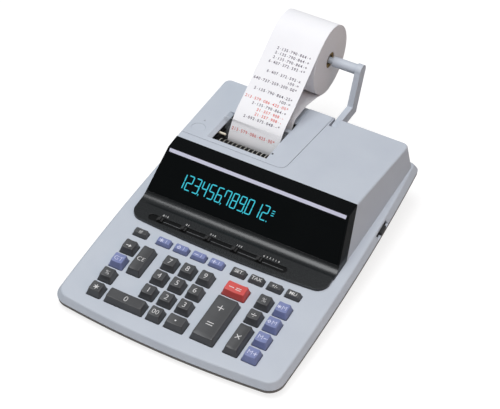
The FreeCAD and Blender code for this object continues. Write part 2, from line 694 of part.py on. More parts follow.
save("display_window", window_plate(WINDOW_MARGIN, 0, WINDOW_T))

# Slide knobs, each with a stem in its slot and a raised grip
for i, x in enumerate(SLIDE_AT):
    low = PANEL_RISE - GROOVE_DEPTH + SLIDE_GAP
    near, far = GROOVE_V - KNOB_D / 2, GROOVE_V + KNOB_D / 2
    knob = box(x - KNOB_W / 2, x + KNOB_W / 2, near, far, low, low + KNOB_RISE - KNOB_TIP)
    grip_w = KNOB_W / 3
    grip = box(x - grip_w / 2, x + grip_w / 2, near, far, low, low + KNOB_RISE + KNOB_TIP)
    stem = box(x - STEM_W / 2, x + STEM_W / 2, GROOVE_V - STEM_D / 2, GROOVE_V + STEM_D / 2,
               PANEL_SKIN + SLIDE_GAP, low + KNOB_TIP)
    save("slide_%d" % (i + 1), on_deck(knob.fuse(grip).fuse(stem).removeSplitter()))

# Power switch: a knob in the skirt's slot on a plate behind the wall
plate_in = WALL + FLARE + SLIDE_GAP
core = case_plan(plate_in + POWER_PLATE, RIM_W, OPEN)
reach = POWER_SLOT / 2 + POWER_TRAVEL + OPEN
plate = box(0, CASE_WIDTH, POWER_V - reach, POWER_V + reach, POWER_W - POWER_PLATE_DOWN, -WALL - SLIDE_GAP)
plate = plate.common(case_plan(plate_in, RIM_W, 0)).cut(core)
knob_h = POWER_SLOT_H / 2 - SLIDE_GAP
reach = POWER_KNOB / 2
knob = box(0, CASE_WIDTH, POWER_V - reach, POWER_V + reach, POWER_W - knob_h, POWER_W + knob_h)
knob = knob.common(case_plan(-POWER_PROUD, -SKIRT, 0)).cut(core)
save("power_switch", on_deck(plate.fuse(knob).removeSplitter()))

# Keys
for name, x, v, width, depth, rise in key_list():
    save(name, on_deck(keycap(x, v, width, depth, rise)))

# Circuit board and dome sheet
board = box(-BOARD_HALF, BOARD_HALF, BOARD_FRONT, BOARD_REAR, board_top - BOARD_T, board_top)
save("main_board", on_deck(board))
mat = box(-BOARD_HALF, BOARD_HALF, BOARD_FRONT, BOARD_REAR, board_top, mat_top)
for name, x, v, width, depth, rise in key_list():
    mat = mat.fuse(Part.makeCone(DOME_R, STUB_R, DOME_H, Vector(x + width / 2, v + depth / 2, mat_top)))
save("dome_mat", on_deck(mat.removeSplitter()))

# Display tube on two legs that stand on the tray's floor
tube_y, tube_z = face_point(TUBE_SHARE)
tube_y += TUBE_BACK
tube_low = tube_z - TUBE_DOWN
tube = box(TUBE_LEFT, TUBE_RIGHT, tube_y, tube_y + TUBE_T, tube_low, tube_z + TUBE_UP)
for x in (TUBE_LEFT + LEG_IN, TUBE_RIGHT - LEG_IN - LEG_W):
    tube = tube.fuse(box(x, x + LEG_W, tube_y, tube_y + TUBE_T, floor_z, tube_low))
save("vfd_tube", tube.removeSplitter())

# Printer cover with paper mouth, feed slot, trough and press mark
cover = cover_region(0, COVER_T).common(shell_out)
mouth_l = PAPER_L - MOUTH_LEFT
mouth_r = PAPER_RIGHT + MOUTH_RIGHT
cover = cover.cut(box(mouth_l, mouth_r, MOUTH_FRONT, MOUTH_REAR, 0, 2 * TOP_FRONT_Z))
rings = []
for y in (MOUTH_FRONT, MOUTH_REAR):
    low, high = top_z(y) - COVER_T, top_z(y) + COVER_T
    plan = [(mouth_l, low), (mouth_l + OPEN, low), (mouth_l + OPEN, high)]
    plan.append((mouth_l - 2 * MOUTH_BEVEL, high))
    points = [Vector(x, y, z) for x, z in plan]
    rings.append(Part.makePolygon(points + [points[0]]))
cover = cover.cut(Part.makeLoft(rings, True, True))
trough_l = PAPER_L - TROUGH_SIDE
trough_r = PAPER_RIGHT + TROUGH_SIDE
cover = cover.cut(box(trough_l, trough_r, SLOT_FRONT, SLOT_REAR, 0, above))
trough_y = SLOT_REAR - OPEN
back_y = REAR_FOOT + BEYOND
trough = [(trough_y, top_z(SLOT_REAR) - TROUGH_DEPTH), (back_y, top_z(back_y) - TROUGH_DEPTH),
          (back_y, above), (trough_y, above)]
cover = cover.cut(side_prism(trough, trough_l, trough_r))
press = Part.makeCylinder(PRESS_R, BEYOND, Vector(PRESS_X, PRESS_Y, top_z(PRESS_Y) - PRESS_DEPTH))
save("printer_cover", cover.cut(press).removeSplitter())

# Tear bar: a leaning clear plate in the mouth, with a wider crest and two tabs under the cover
lean = math.radians(TEAR_LEAN)
dy, dz = math.cos(lean), math.sin(lean)


def leaning_plate(height):
    """Section of the plate from its upper edge down, as (y, z) points."""
    rear_face = [(TEAR_Y, TEAR_Z), (TEAR_Y - height * dy, TEAR_Z - height * dz)]
    return rear_face + [(y - TEAR_T * dz, z + TEAR_T * dy) for y, z in rear_face[::-1]]


tear = side_prism(leaning_plate(TEAR_H), mouth_l + TEAR_GAP, mouth_r - TEAR_GAP)
crest = side_prism(leaning_plate(TEAR_CREST), mouth_l - MOUTH_BEVEL + TEAR_GAP, mouth_r - TEAR_GAP)
tear = tear.fuse(crest)
tab_y = TEAR_Y - TEAR_H * dy
tab_end = tab_y + TAB_L
tab = [(tab_y, 0), (tab_end, 0), (tab_end, TAB_T), (tab_y, TAB_T)]
tab = [(y, top_z(y) - COVER_T - drop) for y, drop in tab]
for x in (mouth_l + TEAR_GAP - TAB_W, mouth_r - TEAR_GAP - OPEN):
    tear = tear.fuse(side_prism(tab, x, x + TAB_W + OPEN))
save("tear_bar", tear.removeSplitter())

# Roll arm: beam in the pit, upright, boss, neck and spool for the core
end_r = ARM_W / 2
beam_low = PIVOT_Z - ARM_BEAM_H / 2
upright = [(KNEE_Y - end_r, beam_low), (KNEE_Y + end_r, beam_low),
           (ROLL_Y + end_r, ROLL_Z), (ROLL_Y - end_r, ROLL_Z)]
arm = side_prism(upright, ARM_X, ARM_X + ARM_T)
arm = arm.fuse(box(ARM_X, ARM_X + ARM_T, PIVOT_Y, KNEE_Y, beam_low, beam_low + ARM_BEAM_H))
arm = arm.fuse(rod(ARM_X, ARM_X + ARM_T, PIVOT_Y, PIVOT_Z, ARM_BEAM_H / 2))
arm = arm.fuse(rod(ARM_X, ARM_X + ARM_T, ROLL_Y, ROLL_Z, end_r))
arm = arm.fuse(rod(cheek_l + PIVOT_IN, cheek_r - PIVOT_IN, PIVOT_Y, PIVOT_Z, PIVOT_R))
boss_l = PAPER_RIGHT + BOSS_CLEAR
arm = arm.fuse(rod(boss_l, ARM_X, ROLL_Y, ROLL_Z, BOSS_R))
neck_l = PAPER_RIGHT - NECK_IN
arm = arm.fuse(rod(neck_l, boss_l, ROLL_Y, ROLL_Z, NECK_R))
arm = arm.fuse(rod(neck_l - SPOOL_L, neck_l, ROLL_Y, ROLL_Z, CORE_BORE - SPOOL_GAP))
save("roll_arm", arm.removeSplitter())

# Paper roll with its core
roll = rod(PAPER_L, PAPER_RIGHT, ROLL_Y, ROLL_Z, ROLL_R)
roll = roll.cut(rod(PAPER_L, PAPER_L + CORE_SINK, ROLL_Y, ROLL_Z, CORE_R))
roll = roll.cut(rod(PAPER_RIGHT - CORE_SINK, PAPER_RIGHT, ROLL_Y, ROLL_Z, CORE_R))
save("paper_roll", roll.cut(rod(PAPER_L - OPEN, PAPER_RIGHT + OPEN, ROLL_Y, ROLL_Z, CORE_BORE)))

# Paper: from the roll's underside through the slot, round the platen and up over the roll
lay = ROLL_R + PAPER_T / 2 + LAY_GAP
wrap = PLATEN_R + PAPER_T / 2 + LAY_GAP


def round_points(y, z, r, angles):
    """Points of a circle in the side view."""
    turns = [math.radians(a) for a in angles]
    return [(y + r * math.cos(t), z + r * math.sin(t)) for t in turns]


path = round_points(ROLL_Y, ROLL_Z, lay, FEED_TURNS)
path += [(y, top_z(y) + h) for y, h in FEED_PATH]
path += [(PLATEN_Y + wrap + FEED_LEAD, PLATEN_Z + PLATEN_R)]
path += round_points(PLATEN_Y, PLATEN_Z, wrap, PLATEN_TURNS)
behind = TEAR_Y + TEAR_CLEAR
path += [(behind - TEAR_H * dy, TEAR_Z - TEAR_H * dz), (behind, TEAR_Z)]
reach_y, reach_z = ROLL_Y - behind, ROLL_Z - TEAR_Z
far = math.hypot(reach_y, reach_z)
rise = math.atan2(reach_z, reach_y) + math.asin(lay / far)
run = math.sqrt(far * far - lay * lay)
for share in RUN_SHARES:
    path.append((behind + share * run * math.cos(rise), TEAR_Z + share * run * math.sin(rise)))
touch = math.degrees(rise) + 90
path += round_points(ROLL_Y, ROLL_Z, lay, [touch - k for k in LAY_TURNS])
curve = Part.BSplineCurve()
curve.interpolate([Vector(PAPER_L, y, z) for y, z in path])
left_side = []
right_side = []
for i in range(PAPER_STEPS + 1):
    t = curve.FirstParameter + (curve.LastParameter - curve.FirstParameter) * i / PAPER_STEPS
    p = curve.value(t)
    g = curve.tangent(t)[0]
    left_side.append(p + Vector(0, -g.z, g.y) * (PAPER_T / 2))
    right_side.append(p - Vector(0, -g.z, g.y) * (PAPER_T / 2))
rim_points = left_side + right_side[::-1]
ribbon = Part.Face(Part.makePolygon(rim_points + [rim_points[0]]))
save("paper_strip", ribbon.extrude(Vector(PAPER_W, 0, 0)))

# Type drum with rings of ribs, and the platen roller, both on shafts in the frame
drum_l = frame_l + FRAME_T + END_PLAY
drum_r = frame_r - FRAME_T - END_PLAY
drum = rod(drum_l, drum_r, DRUM_Y, DRUM_Z, DRUM_R)
step = PAPER_W / DRUM_RIBS
for i in range(DRUM_RIBS):
    x = PAPER_L + i * step + (step - RIB_W) / 2
    ring_cut = rod(x, x + RIB_W, DRUM_Y, DRUM_Z, DRUM_R + OPEN)
    drum = drum.cut(ring_cut.cut(rod(x, x + RIB_W, DRUM_Y, DRUM_Z, DRUM_R - RIB_DEPTH)))
save("type_drum", drum.fuse(rod(frame_l, frame_r, DRUM_Y, DRUM_Z, SHAFT_R)).removeSplitter())
platen = rod(drum_l, drum_r, PLATEN_Y, PLATEN_Z, PLATEN_R)
save("platen_roller", platen.fuse(rod(frame_l, frame_r, PLATEN_Y, PLATEN_Z, SHAFT_R)).removeSplitter())

# Printer frame: two side plates on a base
frame = box(frame_l, frame_r, FRAME_FRONT, FRAME_REAR, FRAME_LOW, FRAME_LOW + FRAME_T)
for x in (frame_l, frame_r - FRAME_T):
    frame = frame.fuse(box(x, x + FRAME_T, FRAME_FRONT, FRAME_REAR, FRAME_LOW, FRAME_TOP))
for y, z in ((DRUM_Y, DRUM_Z), (PLATEN_Y, PLATEN_Z)):
    frame = frame.cut(rod(frame_l - OPEN, frame_r + OPEN, y, z, SHAFT_R + SHAFT_GAP))
save("printer_frame", frame.removeSplitter())

# Motor on the frame's right plate, and the transformer on the tray's floor
motor_y = (FRAME_REAR + PLATEN_Y) / 2 - MOTOR_FORWARD
motor = rod(frame_r, frame_r + MOTOR_L, motor_y, FRAME_LOW + MOTOR_R + MOTOR_RAISE, MOTOR_R)
save("drive_motor", motor)
width, length, height = CORE_STACK
stack = box(CORE_X, CORE_X + width, CORE_Y, CORE_Y + length, floor_z, floor_z + height)
coil = box(CORE_X + COIL_SIDE, CORE_X + width - COIL_SIDE, CORE_Y - BOBBIN_OVER,
           CORE_Y + length + BOBBIN_OVER, floor_z + COIL_LOW, floor_z + height - COIL_LOW)
save("transformer", stack.fuse(coil).removeSplitter())
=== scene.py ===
import json
import math

import bpy
from mathutils import Matrix, Vector
from mathutils.bvhtree import BVHTree


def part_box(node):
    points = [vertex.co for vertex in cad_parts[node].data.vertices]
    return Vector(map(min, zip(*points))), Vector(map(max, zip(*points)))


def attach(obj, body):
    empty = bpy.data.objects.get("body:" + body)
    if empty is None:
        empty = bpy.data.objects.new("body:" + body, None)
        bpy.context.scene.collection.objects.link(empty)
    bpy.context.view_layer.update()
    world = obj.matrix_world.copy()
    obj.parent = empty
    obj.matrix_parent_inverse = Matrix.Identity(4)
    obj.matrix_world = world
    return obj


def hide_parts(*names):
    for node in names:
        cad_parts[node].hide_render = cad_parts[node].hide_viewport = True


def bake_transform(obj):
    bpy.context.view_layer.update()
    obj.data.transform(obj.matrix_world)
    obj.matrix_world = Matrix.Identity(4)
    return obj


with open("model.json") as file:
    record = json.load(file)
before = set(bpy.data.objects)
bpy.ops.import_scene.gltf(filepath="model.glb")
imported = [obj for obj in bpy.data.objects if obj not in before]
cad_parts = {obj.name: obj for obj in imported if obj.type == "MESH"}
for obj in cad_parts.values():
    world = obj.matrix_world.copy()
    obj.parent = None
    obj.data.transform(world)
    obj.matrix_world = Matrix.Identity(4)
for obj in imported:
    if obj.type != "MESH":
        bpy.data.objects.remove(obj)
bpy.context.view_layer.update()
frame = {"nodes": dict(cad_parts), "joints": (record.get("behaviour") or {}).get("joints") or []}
nodes = frame["nodes"]
MM = 0.001

# Grey tray under the case
# A grained mid-grey moulding that shows as a thin grooved band below the skirt. It stands on
# four rubber feet and is closed by four plated screws.


def linear(hex_colour):
    """Linear colour of an sRGB hex value, as shaders take it."""
    parts = [int(hex_colour[i:i + 2], 16) / 255 for i in (1, 3, 5)]
    curve = [c / 12.92 if c <= 0.04045 else ((c + 0.055) / 1.055) ** 2.4 for c in parts]
    return (*curve, 1.0)


def add(tree, kind, settings=(), links=()):
    """One node with its values and its incoming links."""
    made = tree.nodes.new(kind)
    for name, value in dict(settings).items():
        if name in made.inputs:
            made.inputs[name].default_value = value
        else:
            setattr(made, name, value)
    for name, source in dict(links).items():
        tree.links.new(source, made.inputs[name])
    return made


# Width of the slow changes of shade, and how far the grain takes the roughness down and up
CLOUD = 35 * MM
SMOOTHER = 0.05
ROUGHER = 0.07


def moulding(name, colour, shade, roughness, grain_mm, depth, edge_mm=0.0, **extra):
    """Moulded surface: two close shades in soft clouds, a fine grain and soft edges.

    Real grain is too fine for the render, so grain_mm is as coarse as it needs to be to show.
    """
    made = bpy.data.materials.new(name)
    made.use_nodes = True
    tree = made.node_tree
    shader = tree.nodes["Principled BSDF"]
    for socket, value in extra.items():
        shader.inputs[socket.replace("_", " ")].default_value = value
    place = add(tree, "ShaderNodeTexCoord").outputs["Object"]
    cloud = add(tree, "ShaderNodeTexNoise", {"Scale": 1 / CLOUD, "Detail": 3.0}, {"Vector": place})
    tint = add(tree, "ShaderNodeValToRGB", {}, {"Fac": cloud.outputs["Fac"]})
    tint.color_ramp.elements[0].color = linear(shade)
    tint.color_ramp.elements[1].color = linear(colour)
    tint.color_ramp.elements[0].position = 0.25
    tint.color_ramp.elements[1].position = 0.6
    tree.links.new(tint.outputs["Color"], shader.inputs["Base Color"])
    grain = add(tree, "ShaderNodeTexNoise", {"Scale": 1 / (grain_mm * MM), "Detail": 2.0},
                {"Vector": place})
    spread = {"To Min": roughness - SMOOTHER, "To Max": roughness + ROUGHER}
    gloss = add(tree, "ShaderNodeMapRange", spread, {"Value": grain.outputs["Fac"]})
    tree.links.new(gloss.outputs["Result"], shader.inputs["Roughness"])
    relief = add(tree, "ShaderNodeBump", {"Strength": 0.35, "Distance": depth * MM},
                 {"Height": grain.outputs["Fac"]})
    tree.links.new(relief.outputs["Normal"], shader.inputs["Normal"])
    if edge_mm:
        soft = add(tree, "ShaderNodeBevel", {"Radius": edge_mm * MM, "samples": 6})
        tree.links.new(soft.outputs["Normal"], relief.inputs["Normal"])
    return made


def dress(material, *names):
    """Gives CAD nodes a finish."""
    for name in names:
        for held in nodes[name].material_slots:
            held.link = "OBJECT"
            held.material = material


# Grained ABS spreads light evenly, rubber swallows it, and zinc plate gives a soft grey mirror
grey_tray = moulding("grained mid-grey ABS", "#8a8784", "#83807d", 0.6, 0.5, 0.05, 0.4)
foot_rubber = moulding("matt black rubber", "#1b1b1c", "#161617", 0.85, 0.7, 0.06)
plated_steel = moulding("zinc plated steel", "#a9abb0", "#9a9ca0", 0.35, 0.4, 0.01, Metallic=1.0)
dress(grey_tray, "lower_case")
dress(foot_rubber, "rubber_feet")
dress(plated_steel, "case_screws")

# Inside the case
# A coated circuit board under a rubber dome mat, a display tube, and a mains transformer with
# a varnished iron stack. They belong to the case and hardly show once it is closed.

# Lacquer and tube glass shine a little, the iron is brown and satin, the mat has no shine
board_green = moulding("green coated board", "#1f5a34", "#1a4d2c", 0.45, 0.8, 0.02)
tube_glass = moulding("dark display glass", "#101a1c", "#0c1416", 0.1, 2.0, 0.0)
iron_core = moulding("varnished iron stack", "#5a5148", "#4d463e", 0.5, 0.5, 0.05)
grey_rubber = moulding("matt grey rubber", "#3a3b3d", "#333436", 0.8, 0.5, 0.04)
dress(board_green, "main_board")
dress(tube_glass, "vfd_tube")
dress(iron_core, "transformer")
dress(grey_rubber, "dome_mat")

# Grey upper case
# Cool light grey moulding that is deck, skirt and printer housing in one. The lift-off cover
# and the paper arm come from the same plastic.

# Spark-eroded ABS has an even satin sheen, no clear reflections, and edges that catch the light
grey_case = moulding("cool grey satin ABS", "#c4cbd5", "#c0c7d2", 0.48, 0.45, 0.03, 0.7)
dress(grey_case, "upper_case")

# Black display front
# Satin black moulding that runs from the housing's top edge over the sloping face and a
# curved foot into the switch panel. Above the foot its colour is painted darker, as painted
# shade, and its shine is turned down.

# Satin ABS gives the panel and its foot a grey sheen, set strongest along the foot so that a
# highlight falls there; the face above is painted dark, which is painted shade
satin_black = moulding("satin black ABS", "#1b1e20", "#181b1d", 0.26, 0.4, 0.01, 0.5)
black_tree = satin_black.node_tree
black_shader = black_tree.nodes["Principled BSDF"]
black_tint = black_shader.inputs["Base Color"].links[0].from_socket
level = add(black_tree, "ShaderNodeSeparateXYZ", {},
            {"Vector": add(black_tree, "ShaderNodeTexCoord").outputs["Object"]}).outputs["Z"]
FOOT_LOW = 37.5 * MM
FOOT_HIGH = 41.0 * MM
foot_band = {"From Min": FOOT_LOW, "From Max": FOOT_HIGH}
shine = add(black_tree, "ShaderNodeMapRange", {**foot_band, "To Min": 0.58, "To Max": 0.08},
            {"Value": level})
black_tree.links.new(shine.outputs["Result"], black_shader.inputs["Specular IOR Level"])
# Painted shade: above the foot the colour is mixed toward near black
painted_shade_share = add(black_tree, "ShaderNodeMapRange", {**foot_band, "To Min": 0.0, "To Max": 0.85},
             {"Value": level})
deep = add(black_tree, "ShaderNodeMix", {"data_type": "RGBA"})
black_tree.links.new(painted_shade_share.outputs["Result"], deep.inputs[0])
black_tree.links.new(black_tint, deep.inputs[6])
deep.inputs[7].default_value = linear("#080a0b")
black_tree.links.new(deep.outputs[2], black_shader.inputs["Base Color"])
# Polished smoked acrylic is smooth and nearly black, and mirrors hardly anything here
smoked_plate = moulding("polished smoked acrylic", "#0a0d0e", "#080b0c", 0.12, 3.0, 0.0,
                        Specular_IOR_Level=0.1)
dress(satin_black, "front_bezel")
dress(smoked_plate, "display_window")


def sheet_piece(name, quads, material, body):
    """Flat faces as one piece that rides on a body."""
    corners = []
    faces = []
    for quad in quads:
        faces.append(tuple(range(len(corners), len(corners) + len(quad))))
        corners.extend(quad)
    mesh = bpy.data.meshes.new(name)
    mesh.from_pydata(corners, [], faces)
    mesh.update()
    mesh.materials.append(material)
    made = bpy.data.objects.new(name, mesh)
    bpy.context.collection.objects.link(made)
    if body:
        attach(made, body)
    return made


# Directions on the display plate, from the plate's own corners
PLATE_EDGE = 3 * MM
plate = [v.co.copy() for v in nodes["display_window"].data.vertices]
plate_low = min(p.z for p in plate)
plate_high = max(p.z for p in plate)
foot_line = min((p for p in plate if p.z < plate_low + PLATE_EDGE), key=lambda p: p.y)
top_line = min((p for p in plate if p.z > plate_high - PLATE_EDGE), key=lambda p: p.y)
face_origin = Vector((0, foot_line.y, foot_line.z))
face_run = Vector((0, top_line.y, top_line.z)) - face_origin
up_face = face_run.normalized()
off_face = Vector((0, -up_face.z, up_face.y))
half_top = abs(top_line.x)

# Bright strip along the face's upper step
# A satin lilac-grey foil, stuck on the sloping step between the top band and the face. It is
# brighter than the plastic about it, without a mirror.
lilac_foil = moulding("satin lilac foil", "#d4d5e8", "#cdcee3", 0.4, 0.6, 0.005)
STRIP_W = 3.7 * MM
STRIP_T = 0.25 * MM
STRIP_SIDE = 1.2 * MM
STRIP_UP = 0.5 * MM
PLATE_MARGIN = 2.4 * MM
STEP_RUN = 3.0
STEP_RISE = 3.6
step_up = Vector((0, STEP_RUN, STEP_RISE)).normalized()
step_off = Vector((0, -step_up.z, step_up.y))
low = face_origin + up_face * (face_run.length + PLATE_MARGIN) + step_up * STRIP_UP + step_off * STRIP_T
high = low + step_up * STRIP_W
across = Vector((half_top - STRIP_SIDE, 0, 0))
sunk = step_off * STRIP_T * 2
quads = [[low - across, low + across, high + across, high - across]]
for a, b in ((low, low - sunk), (high - sunk, high)):
    quads.append([a + across, a - across, b - across, b + across])
for way in (-1, 1):
    end = across * way
    ring = [low + end, high + end, high + end - sunk, low + end - sunk]
    quads.append(ring[::-1] if way > 0 else ring)
sheet_piece("bright_strip", quads, lilac_foil, "case")

# Display digits
# Twelve slanted seven-segment figures of a fluorescent tube, which glow blue-green through
# the smoked plate. Phosphor gives its own light, a little mottled.
GLOW_GRAIN = 0.8 * MM
glow = bpy.data.materials.new("blue-green phosphor glow")
glow.use_nodes = True
glow_shader = glow.node_tree.nodes["Principled BSDF"]
glow_shader.inputs["Base Color"].default_value = linear("#0b4a55")
glow_shader.inputs["Roughness"].default_value = 0.4
glow_shader.inputs["Emission Strength"].default_value = 0.95
glow_place = add(glow.node_tree, "ShaderNodeTexCoord").outputs["Object"]
glow_noise = add(glow.node_tree, "ShaderNodeTexNoise", {"Scale": 1 / GLOW_GRAIN},
                 {"Vector": glow_place})
glow_tint = add(glow.node_tree, "ShaderNodeValToRGB", {}, {"Fac": glow_noise.outputs["Fac"]})
glow_tint.color_ramp.elements[0].color = linear("#2fb4c8")
glow_tint.color_ramp.elements[1].color = linear("#45cbdc")
glow.node_tree.links.new(glow_tint.outputs["Color"], glow_shader.inputs["Emission Color"])

SHOWN = "123456789012"
POINTS_AFTER = (2, 5, 8, 11)
DIGIT_H = 15.0 * MM
DIGIT_W = 5.6 * MM
DIGIT_LOW = 14.7 * MM
DIGIT_FIRST = -79.4 * MM
DIGIT_STEP = 8.65 * MM
BAR = 1.12 * MM
SLANT = 0.1
BAR_GAP = 0.45 * BAR
BAR_TIP = 0.4 * BAR
POINT_OFF = 1.2 * MM
GLOW_UP = 0.06 * MM
SIGNAL_OFF = 0.6 * MM
SIGNAL_W = 3.0 * MM
SIGNAL_H = 0.8 * BAR
SIGNALS = (7.0 * MM, 9.4 * MM, 11.8 * MM)
SEGMENTS = {"a": (0, 2, 1, 2), "b": (1, 1, 1, 2), "c": (1, 0, 1, 1), "d": (0, 0, 1, 0),
            "e": (0, 0, 0, 1), "f": (0, 1, 0, 2), "g": (0, 1, 1, 1)}
LIT = {"0": "abcdef", "1": "bc", "2": "abged", "3": "abgcd", "4": "fgbc", "5": "afgcd",
       "6": "afgedc", "7": "fabc", "8": "abcdefg", "9": "abcdfg"}


def on_face(x, along, lift):
    """Point on the display plate, leaning with the figures' slant."""
    spot = face_origin + up_face * along + off_face * lift
    return Vector((x + (along - DIGIT_LOW) * SLANT, spot.y, spot.z))


quads = []
for place, figure in enumerate(SHOWN):
    left = DIGIT_FIRST + place * DIGIT_STEP
    for segment in LIT[figure]:
        x0, y0, x1, y1 = SEGMENTS[segment]
        a = Vector((left + x0 * DIGIT_W, DIGIT_LOW + y0 * DIGIT_H / 2))
        b = Vector((left + x1 * DIGIT_W, DIGIT_LOW + y1 * DIGIT_H / 2))
        run = (b - a).normalized()
        wide = Vector((-run.y, run.x)) * BAR / 2
        a, b = a + run * BAR_GAP, b - run * BAR_GAP
        tip = run * BAR_TIP
        outline = [a - tip, a - wide, b - wide, b + tip, b + wide, a + wide]
        quads.append([on_face(p.x, p.y, GLOW_UP) for p in outline])
    if place in POINTS_AFTER:
        x = left + DIGIT_W + POINT_OFF
        spot = [(x, 0), (x + BAR, 0), (x + BAR, BAR), (x, BAR)]
        quads.append([on_face(px, DIGIT_LOW - BAR / 2 + py, GLOW_UP) for px, py in spot])
        tail = [(x + BAR, 0), (x + BAR * 0.5, 0), (x - BAR * 0.1, -BAR), (x + BAR * 0.2, -BAR)]
        if place != len(SHOWN) - 1:
            quads.append([on_face(px, DIGIT_LOW - BAR / 2 + py, GLOW_UP) for px, py in tail[::-1]])
signal_x = DIGIT_FIRST + len(SHOWN) * DIGIT_STEP + SIGNAL_OFF
for along in SIGNALS:
    bar = [(0, 0), (SIGNAL_W, 0), (SIGNAL_W, SIGNAL_H), (0, SIGNAL_H)]
    quads.append([on_face(signal_x + px, DIGIT_LOW + along + py, GLOW_UP) for px, py in bar])
sheet_piece("display_figures", quads, glow, "case")

# Keyboard
# Satin keycaps with upright skirts, tapered sides, rounded rims and a shallow dish across
# the top. Most are charcoal, the memory keys blue and the minus key red, with pale marks.
press = next(j for j in frame["joints"] if j["name"] == "key_0_press")
off_deck = -Vector(press["axis"]).normalized()
up_slope = Vector((0, off_deck.z, -off_deck.y))
KEY_RISE = 7.2 * MM
LOW_RISE = 4.4 * MM
LOW_KEY = 10 * MM
SIDE_TAPER = 1.7 * MM
FRONT_TAPER = 2.6 * MM
BACK_TAPER = 0.8 * MM
SKIRT_LEVELS = (-3.8 * MM, 0.2 * MM, 0.8 * MM)
SKIRT_R = 1.1 * MM
TOP_R = 1.5 * MM
DISH_R = 1.2 * MM
DISH = 0.55 * MM
RIM = 0.7 * MM
RIM_OUT = 0.28 * RIM
RIM_TURNS = (0, 22, 45, 68, 90)
DISH_SHARES = (0.8, 0.55, 0.3, 0.1)
LAND = 0.9 * MM


def deck_span(name):
    """Lowest and highest x, v and w of a node, where v runs up the deck and w off it."""
    points = [v.co for v in nodes[name].data.vertices]
    rows = [[p.x for p in points], [p.dot(up_slope) for p in points], [p.dot(off_deck) for p in points]]
    return [(min(row), max(row)) for row in rows]


def from_deck(x, v, w):
    """Point of the deck's own frame in the row frame."""
    return Vector((x, 0, 0)) + up_slope * v + off_deck * w


def round_ring(x0, x1, v0, v1, r, bends=4, runs=6):
    """Rectangle with round corners, as (x, v) points."""
    ring = []
    centres = [(x1 - r, v0 + r, -90), (x1 - r, v1 - r, 0), (x0 + r, v1 - r, 90), (x0 + r, v0 + r, 180)]
    for i, (cx, cv, start) in enumerate(centres):
        for k in range(bends + 1):
            turn = math.radians(start + 90 * k / bends)
            ring.append((cx + r * math.cos(turn), cv + r * math.sin(turn)))
        nx, nv, turn_start = centres[(i + 1) % 4]
        turn = math.radians(turn_start)
        target = (nx + r * math.cos(turn), nv + r * math.sin(turn))
        last = ring[-1]
        for k in range(1, runs):
            ring.append(tuple(a + (b - a) * k / runs for a, b in zip(last, target)))
    return ring


def ringed_piece(name, rings, material, body):
    """Closed skin through rings of as many points each, capped at the last ring."""
    count = len(rings[0])
    corners = [p for ring in rings for p in ring]
    faces = []
    for k in range(len(rings) - 1):
        for i in range(count):
            j = (i + 1) % count
            faces.append((k * count + i, k * count + j, (k + 1) * count + j, (k + 1) * count + i))
    faces.append(tuple(range((len(rings) - 1) * count, len(rings) * count)))
    faces.append(tuple(range(count))[::-1])
    mesh = bpy.data.meshes.new(name)
    mesh.from_pydata(corners, [], faces)
    for polygon in mesh.polygons:
        polygon.use_smooth = True
    mesh.update()
    mesh.materials.append(material)
    made = bpy.data.objects.new(name, mesh)
    bpy.context.collection.objects.link(made)
    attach(made, body)
    return made


def key_top(name):
    """Extents of a key's top and the height of its dish at x."""
    (x0, x1), (v0, v1), (w0, w1) = deck_span(name)
    rise = KEY_RISE if v1 - v0 > LOW_KEY else LOW_RISE
    ease = rise / KEY_RISE
    left, right = x0 + SIDE_TAPER * ease, x1 - SIDE_TAPER * ease
    front, back = v0 + FRONT_TAPER * ease, v1 - BACK_TAPER * ease
    middle = (left + right) / 2
    half = (right - left) / 2 - LAND
    deep = DISH * ease

    def height(x):
        return w1 - deep * max(0.0, 1 - ((x - middle) / half) ** 2)

    return (x0, x1, v0, v1), (left, right, front, back), w1 - rise, height


def keycap(name, material):
    """Rounded, dished cap in the place of a key's solid."""
    base, top, deck, height = key_top(name)
    rings = []
    for level in SKIRT_LEVELS:
        rings.append([from_deck(x, v, deck + level) for x, v in round_ring(*base, SKIRT_R)])
    for turn in RIM_TURNS:
        inset = RIM * (1 - math.cos(math.radians(turn)))
        drop = RIM * (1 - math.sin(math.radians(turn)))
        grown = RIM_OUT - inset
        ring = round_ring(top[0] - grown, top[1] + grown, top[2] - grown, top[3] + grown, TOP_R)
        rings.append([from_deck(x, v, height(x) - drop) for x, v in ring])
    cx, cv = (top[0] + top[1]) / 2, (top[2] + top[3]) / 2
    for share in DISH_SHARES:
        inner = [c + (e - c) * share for c, e in zip((cx, cx, cv, cv), top)]
        ring = round_ring(*inner, DISH_R * share)
        rings.append([from_deck(x, v, height(x)) for x, v in ring])
    cap = ringed_piece("cap_" + name, rings, material, name + "_cap")
    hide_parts(name)


# Strokes thinner or thicker than the font's own, as shares of the lettering's size
WEIGHT = -0.012
SMALL_WEIGHT = 0.006


def outline_mesh(text, size, weight):
    """Corner lists of the faces of a short text about its middle, with thicker or thinner strokes."""
    curve = bpy.data.curves.new("lettering", "FONT")
    curve.body = text
    curve.size = size
    curve.offset = weight * size
    curve.align_x = "CENTER"
    curve.align_y = "CENTER"
    holder = bpy.data.objects.new("lettering", curve)
    bpy.context.collection.objects.link(holder)
    bpy.context.view_layer.update()
    mesh = bpy.data.meshes.new_from_object(holder.evaluated_get(bpy.context.evaluated_depsgraph_get()))
    faces = [[mesh.vertices[i].co.to_2d() for i in polygon.vertices] for polygon in mesh.polygons]
    bpy.data.objects.remove(holder)
    bpy.data.curves.remove(curve)
    bpy.data.meshes.remove(mesh)
    return faces


def stroke(x0, y0, x1, y1, wide):
    """Straight bar between two points as one face."""
    a, b = Vector((x0, y0)), Vector((x1, y1))
    run = (b - a).normalized()
    out = Vector((-run.y, run.x)) * wide / 2
    a, b = a - run * wide / 2, b + run * wide / 2
    return [a - out, b - out, b + out, a + out]


